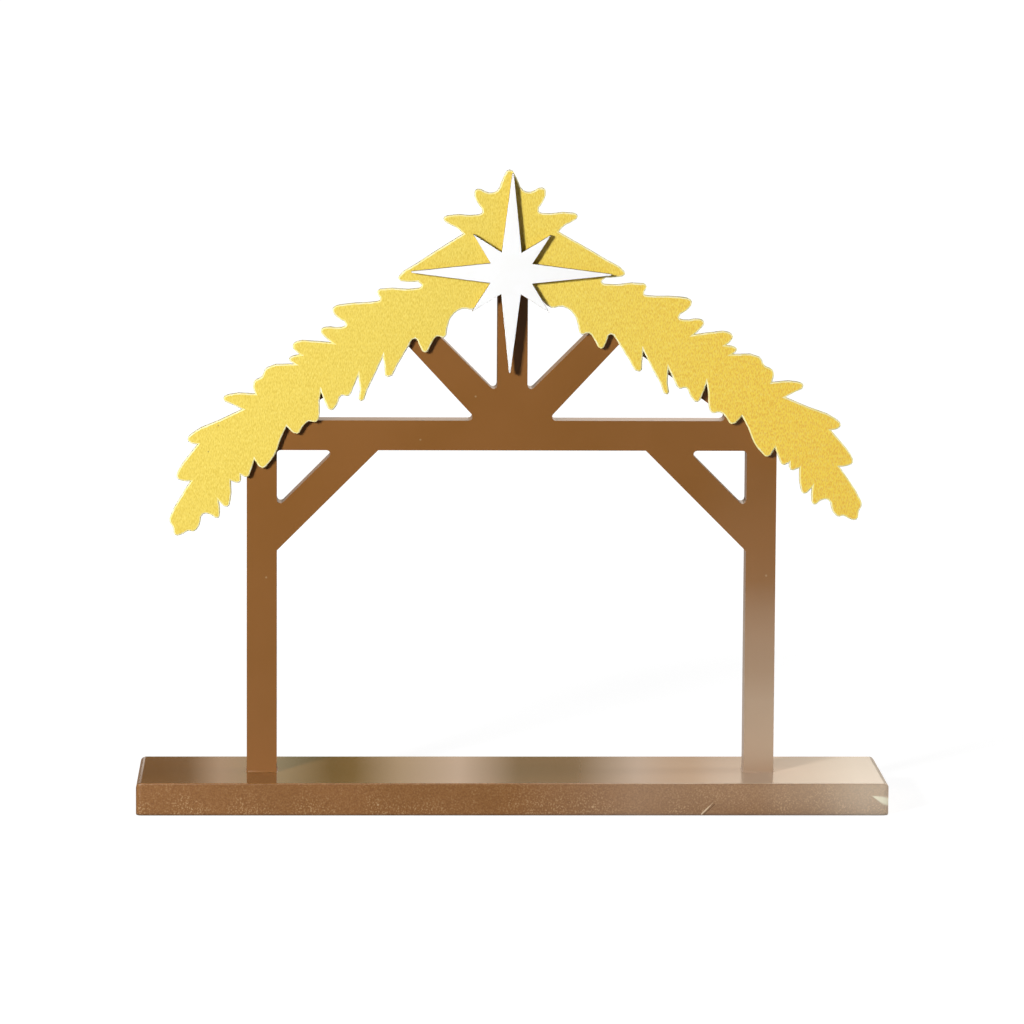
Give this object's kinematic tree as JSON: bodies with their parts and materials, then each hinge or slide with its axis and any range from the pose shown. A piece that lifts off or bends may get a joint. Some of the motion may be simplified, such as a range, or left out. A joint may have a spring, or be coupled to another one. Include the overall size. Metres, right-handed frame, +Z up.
{
  "type": "nativity table ornament",
  "caption": "Painted-board stable arch on a base board, with knee braces, a trussed gable, a ragged straw-coloured roof and an eight-rayed star.",
  "frame": {"origin": "centre of the base board's underside", "axes": "+X along the base board to the viewer's right, +Y from the star to the back, +Z up"},
  "size_m": [0.3, 0.065, 0.2558],
  "materials": {
    "brown_base": "glossy brown paint over fine board",
    "brown_frame": "satin brown paint over board",
    "straw_yellow": "matt straw-yellow board with fine upright grain and darker cut edges",
    "star_white": "matt white paint"
  },
  "bodies": {
    "root": {"base_board": "brown_base", "stable_frame": "brown_frame", "straw_roof": "straw_yellow", "star": "star_white"}
  },
  "joints": []
}
